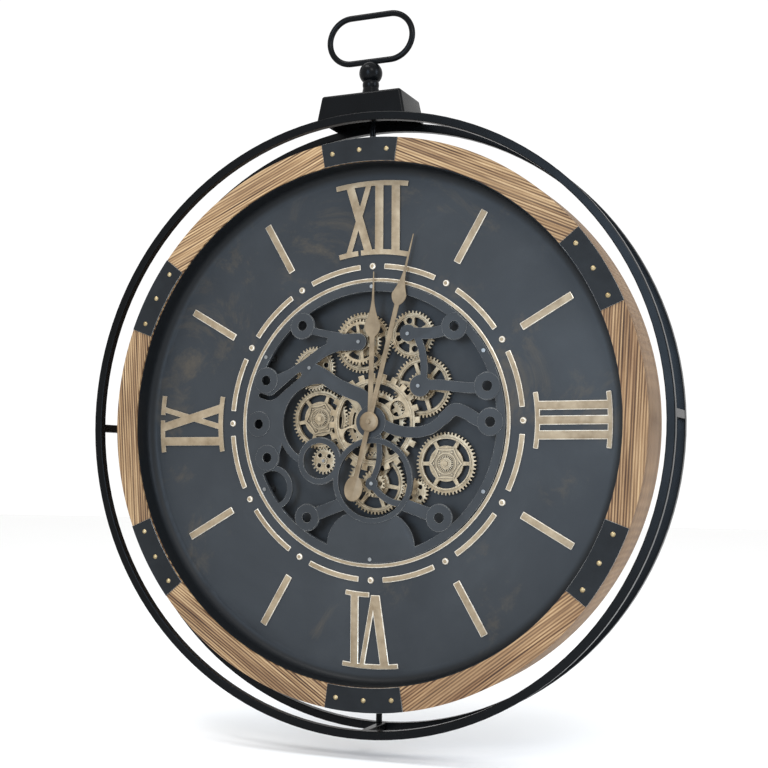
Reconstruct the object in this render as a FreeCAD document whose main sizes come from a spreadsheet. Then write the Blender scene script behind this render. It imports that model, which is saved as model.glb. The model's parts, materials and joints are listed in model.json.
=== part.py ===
import FreeCAD, Part
import math
import os
from FreeCAD import Placement, Rotation, Vector

# Wall clock with an open centre: a wooden drum hung in a double steel hoop, a dished dial, and a
# train of turning wheels behind a skeleton plate.
#
# Every piece is drawn on the bench, face up: x to the right, y to twelve o'clock, z the height above
# the wall. stand() then turns it upright, so the finished frame has +X right, +Z up and +Y into the
# wall, with the origin where the axis of the hands meets the wall.

doc = FreeCAD.newDocument("SkeletonClock")
sheet = doc.addObject("Spreadsheet::Sheet", "Dims")

DIMENSIONS = {
    # hoop
    "hoop_radius": 300.0, "hoop_bar": 8.0, "hoop_front": 65.7, "hoop_rear": 8.0, "spacer_width": 8.0,
    # crown, finial and bow
    "crown_base": 95.0, "crown_top": 83.0, "crown_foot": 290.0, "crown_head": 320.9,
    "crown_front": 65.7, "crown_back": 8.0, "crown_round": 3.0, "crown_wall": 2.2,
    "crown_turn": 0.45, "finial_height": 36.9, "neck_radius": 4.5, "collar_foot": 10.0,
    "collar_top": 7.8, "collar_height": 10.5, "small_ball": 8.3, "small_ball_y": 334.8,
    "large_ball": 11.6, "large_ball_y": 346.6, "bow_width": 94.5, "bow_depth": 52.4, "bow_rod": 3.0,
    "bow_y": 381.8, "stud_radius": 3.0,
    # wooden drum
    "drum_outer": 275.8, "drum_inner": 252.6, "drum_depth": 61.0, "rabbet_radius": 262.0,
    "drum_turn": 0.9, "cover_thickness": 3.0, "cover_window": 112.0,
    "plate_span": 16.8, "corner_plate": 0.9, "nail_circle": 264.3, "nail_step": 6.2,
    "nail_head": 2.4, "nail_dome": 1.3, "nail_shank": 0.8, "nail_length": 12.0,
    # dial
    "dial_front": 35.0, "dial_sheet": 0.8, "dial_hole": 128.0, "dial_wall": 251.8,
    "dial_cove": 10.0, "dial_lip": 59.0, "marker_height": 1.5,
    "ring_inner": 137.5, "ring_outer": 141.5, "track_inner": 150.5, "track_outer": 156.0,
    "track_span": 20.6, "dot_circle": 153.5, "dot_radius": 3.6, "baton_inner": 175.5,
    "baton_outer": 232.0, "baton_width": 7.5, "numeral_inner": 165.0, "numeral_outer": 238.5,
    "serif": 5.0, "thick_stroke": 8.6, "thin_stroke": 5.6,
    # skeleton plate, base disc and what stands between them
    "plate_radius": 136.8, "plate_opening": 128.5, "plate_thickness": 2.5, "plate_relief": 0.6,
    "boss_radius": 13.4, "boss_hole": 5.0, "base_radius": 146.0, "base_rear": 17.0, "base_thickness": 2.0,
    "screw_circle": 133.2, "screw_head": 1.9, "screw_shank": 1.0, "pillar_radius": 3.5,
    # wheels
    "gear_module": 1.2, "addendum": 1.0, "dedendum": 1.5, "wheel_height": 22.5,
    "wheel_thickness": 3.0, "castle_height": 27.3, "castle_thickness": 2.7,
    "small_height": 30.8, "small_thickness": 3.0, "arbor_radius": 1.6, "arbor_head": 1.8,
    "running_gap": 0.05, "castle_tip": 48.0, "castle_root": 43.0,
    # hands
    "tube_outer": 6.5, "tube_bore": 4.6, "hour_pipe": 4.0, "hour_bore": 2.6, "minute_arbor": 2.5,
    "hour_height": 39.4, "minute_height": 41.4, "hand_thickness": 0.8, "hand_cap": 9.8,
    "cap_thickness": 1.8, "hour_length": 147.5, "minute_length": 187.5, "minute_angle": 14.0,
    # movement, motor and battery holder
    "movement_side": 56.0, "movement_depth": 17.0, "motor_radius": 18.0, "motor_depth": 13.0,
    "holder_length": 62.0, "holder_width": 34.0, "holder_depth": 15.0, "cell_radius": 7.1,
    "cell_length": 50.0,
}
for row, (alias, value) in enumerate(DIMENSIONS.items(), start=1):
    sheet.set(f"A{row}", alias)
    sheet.set(f"B{row}", str(value))
    sheet.setAlias(f"B{row}", alias)
doc.recompute()

subparts = []


def size(alias):
    """A driving dimension as a number."""
    return float(sheet.get(alias))


def bind(item, **expressions):
    """Ties properties to the sheet; a bare number is set as it is."""
    for prop, expression in expressions.items():
        if isinstance(expression, str):
            for alias in sorted(DIMENSIONS, key=len, reverse=True):
                expression = replace_word(expression, alias)
            item.setExpression(prop, expression)
        else:
            setattr(item, prop, expression)
    return item


def replace_word(expression, alias):
    parts = expression.split(alias)
    out = parts[0]
    for rest in parts[1:]:
        before = out[-1:] or " "
        after = rest[:1] or " "
        whole = not (before.isalnum() or before in "_.") and not (after.isalnum() or after == "_")
        out += ("Dims." + alias if whole else alias) + rest
    return out


def in_sheet_terms(expression):
    for alias in sorted(DIMENSIONS, key=len, reverse=True):
        expression = replace_word(expression, alias)
    return expression


def at(item, x=0.0, y=0.0, z=0.0, turn=0.0):
    """Bench position of a construction solid; a height given as words is tied to the sheet."""
    height = 0.0 if isinstance(z, str) else z
    item.Placement = Placement(Vector(x, y, height), Rotation(Vector(0, 0, 1), turn))
    if isinstance(z, str):
        item.setExpression("Placement.Base.z", in_sheet_terms(z))
    return item


def cylinder(name, radius, height, x=0.0, y=0.0, z=0.0):
    return at(bind(doc.addObject("Part::Cylinder", name), Radius=radius, Height=height), x, y, z)


def cut(name, base, tool):
    item = doc.addObject("Part::Cut", name)
    item.Base = base
    item.Tool = tool
    item.Refine = True
    return item


def fuse(name, pieces):
    item = doc.addObject("Part::MultiFuse", name)
    item.Shapes = pieces
    item.Refine = True
    return item


def group(name, pieces):
    item = doc.addObject("Part::Compound", name)
    item.Links = pieces
    return item


def ring(name, outer, inner, height, z=0.0):
    body = cylinder(name + "_outer", outer, height, z=z)
    hole = cylinder(name + "_inner", inner, height, z=z)
    return cut(name, body, hole)


def outline(name, shape):
    item = doc.addObject("Part::Feature", name)
    item.Shape = shape
    return item


def slab(name, face, height, z=0.0):
    """A flat piece: a drawn face raised to a bound thickness."""
    item = doc.addObject("Part::Extrusion", name)
    item.Base = outline(name + "_outline", face)
    item.DirMode = "Custom"
    item.Dir = Vector(0, 0, 1)
    item.Solid = True
    bind(item, LengthFwd=height)
    return at(item, z=z)


def turned(name, wire):
    """A turned piece: a closed wire in the x-z plane spun about z."""
    item = doc.addObject("Part::Revolution", name)
    item.Source = outline(name + "_section", Part.Face(wire))
    item.Axis = Vector(0, 0, 1)
    item.Base = Vector(0, 0, 0)
    item.Angle = 360.0
    item.Solid = True
    return item


def stand(item, label, x=0.0, y=0.0, z=0.0, turn=0.0):
    """Turns a finished piece upright and keeps it as a sub-part of its own."""
    height = 0.0 if isinstance(z, str) else z
    upright = Rotation(Vector(1, 0, 0), 90)
    item.Placement = Placement(Vector(x, -height, y), upright * Rotation(Vector(0, 0, 1), turn))
    if isinstance(z, str):
        item.setExpression("Placement.Base.y", in_sheet_terms("-(" + z + ")"))
    item.Label = label
    subparts.append(item)
    return item


# ---- flat drawing helpers -------------------------------------------------------------------------

def polar(radius, degrees):
    """A point of the bench plane, its angle counted clockwise from twelve o'clock."""
    angle = math.radians(degrees)
    return Vector(radius * math.sin(angle), radius * math.cos(angle), 0)


def disc(x, y, radius):
    return Part.Face(Part.Wire(Part.makeCircle(radius, Vector(x, y, 0))))


def polygon(points):
    corners = [Vector(x, y, 0) for x, y in points]
    return Part.Face(Part.makePolygon(corners + corners[:1]))


def arc(radius, start, end):
    middle = (start + end) / 2
    return Part.Arc(polar(radius, start), polar(radius, middle), polar(radius, end)).toShape()


def sector(inner, outer, start, end):
    """A piece of a flat ring between two clock angles."""
    edges = [arc(outer, start, end), Part.makeLine(polar(outer, end), polar(inner, end)),
             arc(inner, end, start), Part.makeLine(polar(inner, start), polar(outer, start))]
    return Part.Face(Part.Wire(edges))


def rounded_path(points, share=0.45):
    """Straight runs joined by tangent arcs as large as the runs allow."""
    corners = [Vector(x, y, 0) for x, y in points]
    edges = []
    here = corners[0]
    for before, corner, after in zip(corners, corners[1:], corners[2:]):
        back, ahead = before - corner, after - corner
        reach = share * min(back.Length, ahead.Length)
        enter = corner + back.normalize() * reach
        leave = corner + ahead.normalize() * reach
        half = back.getAngle(ahead) / 2
        inward = (back + ahead).normalize()
        radius = reach * math.tan(half)
        middle = corner + inward * (reach / math.cos(half) - radius)
        edges.append(Part.makeLine(here, enter))
        edges.append(Part.Arc(enter, middle, leave).toShape())
        here = leave
    edges.append(Part.makeLine(here, corners[-1]))
    return Part.Wire(edges)


def band(width, points):
    """A flat arm of even width with round ends along a smooth path."""
    if len(points) == 2:
        return capsule(width / 2, Vector(*points[0], 0), Vector(*points[1], 0))
    path = rounded_path(points)
    return Part.Face(path.makeOffset2D(width / 2, 0, False, False))


def capsule(radius, start, end):
    """A straight bar with round ends."""
    along = (end - start).normalize() * radius
    across = Vector(-along.y, along.x, 0)
    edges = [Part.makeLine(start + across, end + across),
             Part.Arc(end + across, end + along, end - across).toShape(),
             Part.makeLine(end - across, start - across),
             Part.Arc(start - across, start - along, start + across).toShape()]
    return Part.Face(Part.Wire(edges))


def islands(shape):
    """The separate flat faces that a boolean leaves, found as the feet of one-high solids."""
    blocks = [face.extrude(Vector(0, 0, 1)) for face in shape.Faces]
    block = blocks[0].multiFuse(blocks[1:]) if blocks[1:] else blocks[0]
    return [face for face in block.removeSplitter().Faces if face.BoundBox.ZMax < 0.1]


def merged(shape):
    feet = islands(shape)
    if len(feet) != 1:
        raise RuntimeError("a flat outline fell into several pieces")
    return feet[0]


def union(faces):
    return merged(faces[0].multiFuse(faces[1:]))


# ---- hoop, crown and bow --------------------------------------------------------------------------

def make_hoop():
    inner = "hoop_radius - hoop_bar"
    front = ring("front_hoop", "hoop_radius", inner, "hoop_bar")
    stand(front, "front_hoop", z="hoop_front - hoop_bar")
    rear = ring("rear_hoop", "hoop_radius", inner, "hoop_bar")
    stand(rear, "rear_hoop", z="hoop_rear")
    bars = []
    for clock in (90, 180, 270):
        bar = doc.addObject("Part::Box", f"spacer_bar_{clock}")
        bind(bar, Length="hoop_bar - 0.4", Width="spacer_width",
             Height="hoop_front - hoop_rear - 2 * hoop_bar")
        inner_edge = size("hoop_radius") - size("hoop_bar")
        angle = math.radians(90 - clock + size("drum_turn"))
        along = Vector(math.cos(angle), math.sin(angle), 0)
        across = Vector(-math.sin(angle), math.cos(angle), 0)
        corner = along * (inner_edge + 0.1) - across * (size("spacer_width") / 2)
        bar.Placement = Placement(corner, Rotation(Vector(0, 0, 1), math.degrees(angle)))
        bars.append(bar)
    stand(group("hoop_spacers", bars), "hoop_spacers", z="hoop_rear + hoop_bar")


def crown_sections(name, inset, foot, head):
    """Foot and head outlines of the crown, drawn in by the inset all round."""
    lean = 2.0
    items = []
    for level, half, narrow in ((foot, size("crown_base") / 2, 0.0), (head, size("crown_top") / 2, lean)):
        side = half - inset
        near = size("crown_back") + narrow + inset
        far = size("crown_front") - narrow - inset
        corners = [Vector(-side, level, near), Vector(side, level, near), Vector(side, level, far),
                   Vector(-side, level, far)]
        items.append(outline(f"{name}_{len(items)}", Part.makePolygon(corners + corners[:1])))
    loft = doc.addObject("Part::Loft", name)
    loft.Sections = items
    loft.Solid = True
    loft.Ruled = True
    return loft


def make_crown():
    """Sheet-steel cap, open below, that stands on both hoops."""
    foot, head, wall = size("crown_foot"), size("crown_head"), size("crown_wall")
    outside = crown_sections("crown_outside", 0.0, foot, head)
    doc.recompute()
    softened = doc.addObject("Part::Fillet", "crown_softened")
    softened.Base = outside
    radius = size("crown_round")
    edges = []
    for index, edge in enumerate(outside.Shape.Edges, start=1):
        if edge.BoundBox.YMin > foot + 1 or edge.BoundBox.YLength > 5:
            edges.append((index, radius, radius))
    softened.Edges = edges
    inside = crown_sections("crown_inside", wall, foot - 1, head - wall)
    saddle = cylinder("crown_saddle", "hoop_radius + 0.02", "hoop_front + 10", z=-5.0)
    stem = cylinder("crown_stem_hole", "neck_radius", 12.0)
    stem.Placement = Placement(Vector(0, head - 8, size("finial_height")), Rotation(Vector(1, 0, 0), -90))
    stand(cut("crown_block", softened, fuse("crown_tools", [inside, saddle, stem])), "crown_block",
          turn=size("crown_turn"))


def make_finial():
    """Turned stem with two balls; the bow's foot screws into the upper ball."""
    head, small, large = size("crown_head"), size("small_ball"), size("large_ball")
    small_y, large_y = size("small_ball_y"), size("large_ball_y")
    spigot = size("crown_wall")
    pieces = [cylinder("finial_stem", "neck_radius", small_y - head + spigot)]
    pieces[0].Placement = Placement(Vector(0, 0, head - spigot), Rotation())
    collar = doc.addObject("Part::Cone", "finial_collar")
    bind(collar, Radius1="collar_foot", Radius2="collar_top", Height="collar_height")
    collar.Placement = Placement(Vector(0, 0, head), Rotation())
    pieces.append(collar)
    for name, radius, level in (("finial_small", small, small_y), ("finial_large", large, large_y)):
        ball = doc.addObject("Part::Sphere", name)
        ball.Radius = radius
        ball.Placement = Placement(Vector(0, 0, level), Rotation())
        pieces.append(ball)
    return fuse("finial_turned", pieces)


def stadium(width, depth, rod):
    """Centre line of the bow: two half circles joined by straight runs, in the x-z plane."""
    radius = depth / 2 - rod
    run = width / 2 - rod - radius
    top, bottom = radius, -radius
    edges = [Part.makeLine(Vector(-run, 0, bottom), Vector(run, 0, bottom)),
             Part.Arc(Vector(run, 0, bottom), Vector(run + radius, 0, 0), Vector(run, 0, top)).toShape(),
             Part.makeLine(Vector(run, 0, top), Vector(-run, 0, top)),
             Part.Arc(Vector(-run, 0, top), Vector(-run - radius, 0, 0), Vector(-run, 0, bottom)).toShape()]
    return Part.Wire(edges)


def make_bow():
    """Round rod bent to a stadium, with a pin welded into the finial's upper ball."""
    rod = size("bow_rod")
    path = outline("bow_path", stadium(size("bow_width"), size("bow_depth"), rod))
    start = Vector(0, 0, -(size("bow_depth") / 2 - rod))
    section = outline("bow_section", Part.Wire(Part.makeCircle(rod, start, Vector(1, 0, 0))))
    sweep = doc.addObject("Part::Sweep", "bow_rod_sweep")
    sweep.Sections = [section]
    sweep.Spine = (path, [])
    sweep.Solid = True
    level = size("bow_y")
    foot = size("large_ball_y") + size("large_ball") - 9.0
    pin = cylinder("bow_pin", 2.5, level + start.z - foot)
    pin.Placement = Placement(Vector(0, 0, foot - level), Rotation())
    bow = fuse("bow", [sweep, pin])
    bow.Label = "bow"
    depth = size("finial_height")
    lean = Rotation(Vector(0, 1, 0), -size("crown_turn"))
    bow.Placement = Placement(Vector(0, -depth, 0) + lean.multVec(Vector(0, 0, level)), lean)
    subparts.append(bow)

    socket = cylinder("finial_socket", "2.5 + running_gap", 40.0)
    socket.Placement = Placement(Vector(0, 0, foot - 0.2), Rotation())
    seat = cylinder("finial_seat", "bow_rod + 0.01", 40.0)
    seat.Placement = Placement(Vector(-20, 0, level + start.z), Rotation(Vector(0, 1, 0), 90))
    finial = cut("finial", make_finial(), fuse("finial_tools", [socket, seat]))
    finial.Label = "finial"
    finial.Placement = Placement(Vector(0, -depth, 0), lean)
    subparts.append(finial)


def make_studs():
    """Two studs that carry the drum in the hoop: crown to drum, and rear hoop to drum."""
    drum = size("drum_outer")
    upper = cylinder("upper_stud", "stud_radius", "crown_head - crown_wall - drum_outer + 8")
    upper.Placement = Placement(Vector(0, drum - 8.0, size("finial_height")), Rotation(Vector(1, 0, 0), -90))
    lower_end = size("hoop_radius") - size("hoop_bar")
    lower = cylinder("lower_stud", "stud_radius", lower_end - drum + 8.0)
    height = size("hoop_rear") + size("hoop_bar") / 2
    lower.Placement = Placement(Vector(0, 8.0 - drum, height), Rotation(Vector(1, 0, 0), 90))
    stand(group("drum_studs", [upper, lower]), "drum_studs")
    return upper, lower


# ---- wooden drum ----------------------------------------------------------------------------------

def make_drum(studs):
    """Six scorched fir blocks mitred on the clock's even hours, plated and nailed on their joints."""
    turn = size("drum_turn")
    shanks = []
    heads = []
    for hour in range(0, 12, 2):
        for step in (-1, 0, 1):
            place = polar(size("nail_circle"), hour * 30 - turn + step * size("nail_step"))
            name = f"nail_{hour}_{step + 1}"
            shank = cylinder(name + "_shank", "nail_shank", "nail_length + corner_plate",
                             place.x, place.y, "drum_depth - nail_length")
            dome = doc.addObject("Part::Sphere", name + "_dome")
            head, rise = size("nail_head"), size("nail_dome")
            dome.Radius = (head ** 2 + rise ** 2) / (2 * rise)
            dome.Angle1 = math.degrees(math.asin(1 - rise / dome.Radius.Value))
            sink = rise - dome.Radius.Value
            at(dome, place.x, place.y, size("drum_depth") + size("corner_plate") + sink)
            shanks.append(shank)
            heads.append(fuse(name, [shank, dome]))
    stand(group("brass_nails", heads), "brass_nails")
    holes = group("nail_holes", shanks + list(studs))

    for index in range(6):
        start = index * 60 - turn
        face = sector(size("drum_inner"), size("drum_outer"), start, start + 60)
        block = slab(f"drum_block_{index + 1}_blank", face, "drum_depth")
        rabbet = sector(size("drum_inner") - 1, size("rabbet_radius"), start - 1, start + 61)
        step = slab(f"drum_block_{index + 1}_rabbet", rabbet, "cover_thickness")
        tools = group(f"drum_block_{index + 1}_tools", [step, holes])
        stand(cut(f"drum_block_{index + 1}", block, tools), f"drum_block_{index + 1}")

    half = size("plate_span") / 2
    for index in range(6):
        middle = index * 60 - turn
        face = sector(size("drum_inner"), size("drum_outer"), middle - half, middle + half)
        blank = slab(f"joint_plate_{index + 1}_blank", face, "corner_plate", z="drum_depth")
        plate = cut(f"joint_plate_{index + 1}", blank, holes)
        stand(plate, f"joint_plate_{index + 1}")


def make_cover():
    """Black board let into the drum's back, with a round window for the movement."""
    board = ring("back_board", "rabbet_radius - 0.2", "cover_window", "cover_thickness")
    holes = []
    screws = []
    for index in range(6):
        place = polar((size("rabbet_radius") + size("drum_inner")) / 2, index * 60 + 30)
        hole = cylinder(f"cover_hole_{index}", 1.6, 5.0, place.x, place.y, -1.0)
        sink = doc.addObject("Part::Cone", f"cover_sink_{index}")
        sink.Radius1, sink.Radius2, sink.Height = 3.4, 1.6, 1.8
        at(sink, place.x, place.y, 0)
        holes += [hole, sink]
        head = doc.addObject("Part::Cone", f"cover_screw_head_{index}")
        head.Radius1, head.Radius2, head.Height = 3.4, 1.6, 1.8
        at(head, place.x, place.y, 0)
        shank = cylinder(f"cover_screw_shank_{index}", 1.6, "cover_thickness", place.x, place.y)
        screws.append(fuse(f"cover_screw_{index}", [head, shank]))
    hang_y = 190.0
    window = doc.addObject("Part::Box", "hanger_window")
    window.Length, window.Width, window.Height = 30.0, 22.0, 6.0
    at(window, -15.0, hang_y - 11.0, -1.0)
    tools = group("cover_tools", holes + [window])
    stand(cut("back_cover", board, tools), "back_cover")
    stand(group("cover_screws", screws), "cover_screws")

    plate = doc.addObject("Part::Box", "hanger_blank")
    plate.Length, plate.Width, plate.Height = 54.0, 34.0, 1.5
    at(plate, -27.0, hang_y - 17.0, size("cover_thickness"))
    mouth = cylinder("hanger_mouth", 5.0, 8.0, 0, hang_y - 3.0, -1.0)
    slot = doc.addObject("Part::Box", "hanger_slot")
    slot.Length, slot.Width, slot.Height = 4.6, 9.0, 8.0
    at(slot, -2.3, hang_y - 3.0, -1.0)
    crown = cylinder("hanger_crown", 2.3, 8.0, 0, hang_y + 6.0, -1.0)
    stand(cut("hanger_plate", plate, fuse("hanger_keyhole", [mouth, slot, crown])), "hanger_plate")


# ---- dial and its markers -------------------------------------------------------------------------

def make_dial():
    """Dished steel sheet: a flat face, a quarter-round cove and a straight wall."""
    front, sheet_thickness = size("dial_front"), size("dial_sheet")
    wall, cove, lip = size("dial_wall"), size("dial_cove"), size("dial_lip")
    hole = size("dial_hole")
    knee = wall - cove
    centre_level = front + cove
    diagonal = math.sqrt(0.5)

    def bend(radius):
        return Vector(knee + radius * diagonal, 0, centre_level - radius * diagonal)

    outer = cove + sheet_thickness
    back = front - sheet_thickness
    edges = [
        Part.makeLine(Vector(hole, 0, front), Vector(knee, 0, front)),
        Part.Arc(Vector(knee, 0, front), bend(cove), Vector(wall, 0, centre_level)).toShape(),
        Part.makeLine(Vector(wall, 0, centre_level), Vector(wall, 0, lip)),
        Part.makeLine(Vector(wall, 0, lip), Vector(wall + sheet_thickness, 0, lip)),
        Part.makeLine(Vector(wall + sheet_thickness, 0, lip),
                      Vector(wall + sheet_thickness, 0, centre_level)),
        Part.Arc(Vector(wall + sheet_thickness, 0, centre_level), bend(outer),
                 Vector(knee, 0, back)).toShape(),
        Part.makeLine(Vector(knee, 0, back), Vector(hole, 0, back)),
        Part.makeLine(Vector(hole, 0, back), Vector(hole, 0, front)),
    ]
    dish = turned("dial_dish", Part.Wire(edges))
    holes = []
    for index in range(6):
        place = polar(size("screw_circle"), index * 60)
        holes.append(cylinder(f"dial_screw_hole_{index}", "screw_shank", 3.0, place.x, place.y,
                              "dial_front - 2"))
    stand(cut("dial", dish, group("dial_screw_holes", holes)), "dial")


def stroke(start, end, width):
    """A straight numeral stroke, its ends cut level."""
    half = width / 2
    return polygon([(start[0] - half, start[1]), (start[0] + half, start[1]),
                    (end[0] + half, end[1]), (end[0] - half, end[1])])


def serif_arc(radius, left, right):
    """A serif that follows the dial's circles, between two widths."""
    start = math.degrees(math.asin(left / radius))
    end = math.degrees(math.asin(right / radius))
    return sector(radius, radius + size("serif"), start, end)


def make_numerals():
    """Roman numerals drawn upright at twelve and turned to their places, feet to the centre."""
    foot, head = size("numeral_inner"), size("numeral_outer") - size("serif")
    thick, thin = size("thick_stroke"), size("thin_stroke")
    low, high = foot + 2.5, head + 2.0

    def cross(middle, lean):
        """Thick stroke falls to the right, thin stroke falls to the left."""
        return [stroke((middle - lean, high), (middle + lean, low), thick),
                stroke((middle + lean, high), (middle - lean, low), thin)]

    def posts(*places):
        return [stroke((place, high), (place, low), thick) for place in places]

    drawings = {
        "numeral_xii": (0, cross(-14.5, 10.5) + posts(7.0, 24.5)
                        + [serif_arc(head, -39, 37), serif_arc(foot, -35, -15), serif_arc(foot, -12, 37)]),
        "numeral_iii": (90, posts(-13.7, 0.0, 13.7) + [serif_arc(head, -26, 26), serif_arc(foot, -26, 26)]),
        "numeral_vi": (180, [stroke((-15.5, high), (-5.0, low), thick + 1.0),
                             stroke((8.5, high), (-3.5, low), thin)] + posts(16.5)
                       + [serif_arc(head, -29, 29), serif_arc(foot, 1, 26)]),
        "numeral_ix": (270, cross(6.0, 9.5) + posts(-18.0)
                       + [serif_arc(head, -29, 4), serif_arc(head, 9.5, 29), serif_arc(foot, -28, 27)]),
    }
    for label, (clock, faces) in drawings.items():
        plates = [slab(f"{label}_{index}", face, "marker_height") for index, face in enumerate(faces)]
        stand(fuse(label, plates), label, z="dial_front", turn=-clock)


def make_markers():
    stand(ring("inner_ring", "ring_outer", "ring_inner", "marker_height"), "inner_ring", z="dial_front")
    half = size("track_span") / 2
    dashes = []
    dots = []
    batons = []
    for hour in range(12):
        middle = hour * 30 + 15
        face = sector(size("track_inner"), size("track_outer"), middle - half, middle + half)
        dashes.append(slab(f"minute_dash_{hour}", face, "marker_height"))
        dot = doc.addObject("Part::Cone", f"hour_dot_{hour}")
        bind(dot, Radius1="dot_radius", Radius2="dot_radius * 0.72", Height="marker_height")
        place = polar(size("dot_circle"), hour * 30)
        dots.append(at(dot, place.x, place.y))
        if hour % 3:
            baton = doc.addObject("Part::Box", f"hour_baton_{hour}")
            bind(baton, Length="baton_width", Width="baton_outer - baton_inner", Height="marker_height")
            angle = math.radians(hour * 30)
            across = Vector(math.cos(angle), -math.sin(angle), 0)
            corner = polar(size("baton_inner"), hour * 30) - across * (size("baton_width") / 2)
            at(baton, corner.x, corner.y, 0, -hour * 30)
            batons.append(baton)
    stand(group("minute_track", dashes + dots), "minute_track", z="dial_front")
    stand(group("hour_batons", batons), "hour_batons", z="dial_front")


# ---- skeleton plate -------------------------------------------------------------------------------

BOSSES = [(-75, 97), (86, 91), (-115, 43), (119, 33), (-123, -1), (122, -1), (-113, -35),
          (-68, -94), (71, -92)]


def annulus(x, y, inner, outer):
    return disc(x, y, outer).cut(disc(x, y, inner))


def plate_face():
    """Rim, arms, rings and bosses of the skeleton plate, then its openings."""
    rim = annulus(0, 0, size("plate_opening"), size("plate_radius"))
    inside = disc(0, 0, size("plate_opening") + 1)
    within = disc(0, 0, size("plate_opening"))
    hub = disc(0, 0, 15.5)
    lower_pin = disc(0.9, -60, 6.2)
    lower_struts = [band(5.5, [(8, -14), (9.5, -32), (7, -46), (0, -60)]),
                    band(6, [(0, -60), (11, -72), (25, -79), (38, -79)])]
    left_arm = band(14, [(0, 9), (-8, 25), (-22, 30), (-38, 37), (-54, 48), (-68, 54)])
    arms = [
        hub, lower_pin, left_arm,
        band(16.5, [(-40, 79), (-13.9, 79)]),
        band(7, [(-75, 95), (-55, 89), (-34, 85)]),
        band(11, [(-34, 76.5), (-50, 72), (-68, 59.5), (-90, 47), (-112, 40)]),
        band(10.5, [(4, 4), (18, -6), (34, -10), (50, -10.5), (64, -7), (80, 6)]),
        band(12, [(76, 3), (86, 12.5), (98, 8), (110, 0), (122, -1)]),
        band(11, [(86, 90), (64, 84.5), (38, 86)]),
        disc(38, 86, 8.2),
        band(7, [(47, 84), (53, 70), (55.5, 52), (54, 38)]),
        disc(51, 34.5, 10.5),
        band(10, [(51, 35), (74, 35), (96, 31.5), (119, 31)]),
        band(12.5, [(-30, -80), (-68, -94)]),
        band(12, [(32, -79), (71, -92)]),
        disc(-12, -121, 34), disc(12, -121, 34),
        polygon([(-134, 34), (-112, 34), (-92, 46), (-66, 60), (-48, 46), (-56, 34), (-80, 30),
                 (-98, 0), (-97, -22), (-104, -48), (-134, -44)]),
        annulus(-57, 0, 38.5, 45).common(polygon([(-110, 40), (-60, 40), (-60, 0), (-75, -60),
                                                  (-110, -60)])),
    ] + lower_struts
    rings = [annulus(-55, -38, 17.5, 23.5), annulus(2, -57, 36.5, 42), annulus(-107, -65, 17, 22.5)]
    bosses = [disc(x, y, size("boss_radius")) for x, y in BOSSES]
    solid = union([rim] + [piece.common(inside) for piece in arms + rings + bosses])

    openings = [disc(-55, -38, 17.5), disc(-107, -65, 17).common(within),
                disc(2, -57, 36.5).cut([hub, lower_pin] + lower_struts),
                disc(-57, 0, 38.5).cut([left_arm, hub, disc(-55, -38, 23.5), disc(2, -57, 42)]),
                band(5, [(-121, 28), (-109, 24), (-96, 34), (-78, 48)])]
    openings += [disc(x, y, size("boss_hole")) for x, y in BOSSES]
    for place in arbor_places("long"):
        openings.append(disc(place.x, place.y, size("arbor_radius")))
    for index in range(6):
        place = polar(size("screw_circle"), index * 60)
        openings.append(disc(place.x, place.y, size("screw_shank")))
    openings.append(disc(0, 0, size("tube_outer") + 0.6))
    return merged(solid.cut(openings))


def make_plate():
    face = plate_face()
    blank = slab("skeleton_plate_blank", face, "plate_thickness")
    edge = disc(0, 0, size("plate_radius") - 0.8)
    raised = [annulus(x, y, size("boss_hole"), size("boss_radius") - 0.6) for x, y in BOSSES]
    raised += [annulus(-55, -38, 17.5, 22.9), annulus(2, -57, 36.5, 41.4),
               annulus(0, 0, size("tube_outer") + 0.6, 15.5)]
    relief = raised[0].multiFuse(raised[1:]).common(edge).common(face)
    tops = [slab(f"skeleton_plate_ring_{number}", island, "plate_relief", z="plate_thickness")
            for number, island in enumerate(islands(relief), start=1)]
    stand(fuse("skeleton_plate", [blank] + tops), "skeleton_plate", z="dial_front")

    base = cylinder("base_disc_blank", "base_radius", "base_thickness")
    bore = cylinder("base_disc_bore", "tube_bore + 0.6", "base_thickness")
    holes = [bore]
    screws = []
    pillars = []
    top = "dial_front + plate_thickness"
    for index in range(6):
        place = polar(size("screw_circle"), index * 60)
        head = cylinder(f"plate_screw_{index}_head", "screw_head", 0.9, place.x, place.y, top)
        shank = cylinder(f"plate_screw_{index}_shank", "screw_shank", "plate_thickness + 6",
                         place.x, place.y, "dial_front - 6")
        screws.append(fuse(f"plate_screw_{index}", [head, shank]))
        post = cylinder(f"pillar_{index}_post", "pillar_radius",
                        "dial_front - dial_sheet - base_rear - base_thickness", place.x, place.y,
                        "base_rear + base_thickness")
        pillars.append(cut(f"pillar_{index}", post, shank))
    stand(group("plate_screws", screws), "plate_screws")
    stand(group("pillars", pillars), "pillars")
    for kind in ("long", "short"):
        for number, place in enumerate(arbor_places(kind)):
            holes.append(cylinder(f"base_hole_{kind}_{number}", "arbor_radius", "base_thickness",
                                  place.x, place.y))
    drive = WHEELS["drive_gear"]["place"]
    holes.append(cylinder("base_motor_hole", 4.0, "base_thickness", drive.x, drive.y))
    stand(cut("base_disc", base, group("base_disc_holes", holes)), "base_disc", z="base_rear")


# ---- wheel train ----------------------------------------------------------------------------------

def mesh_distance(first, second):
    return size("gear_module") * (first + second) / 2


def towards(origin, aim, distance):
    run = aim - origin
    return origin + run.normalize() * distance


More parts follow.
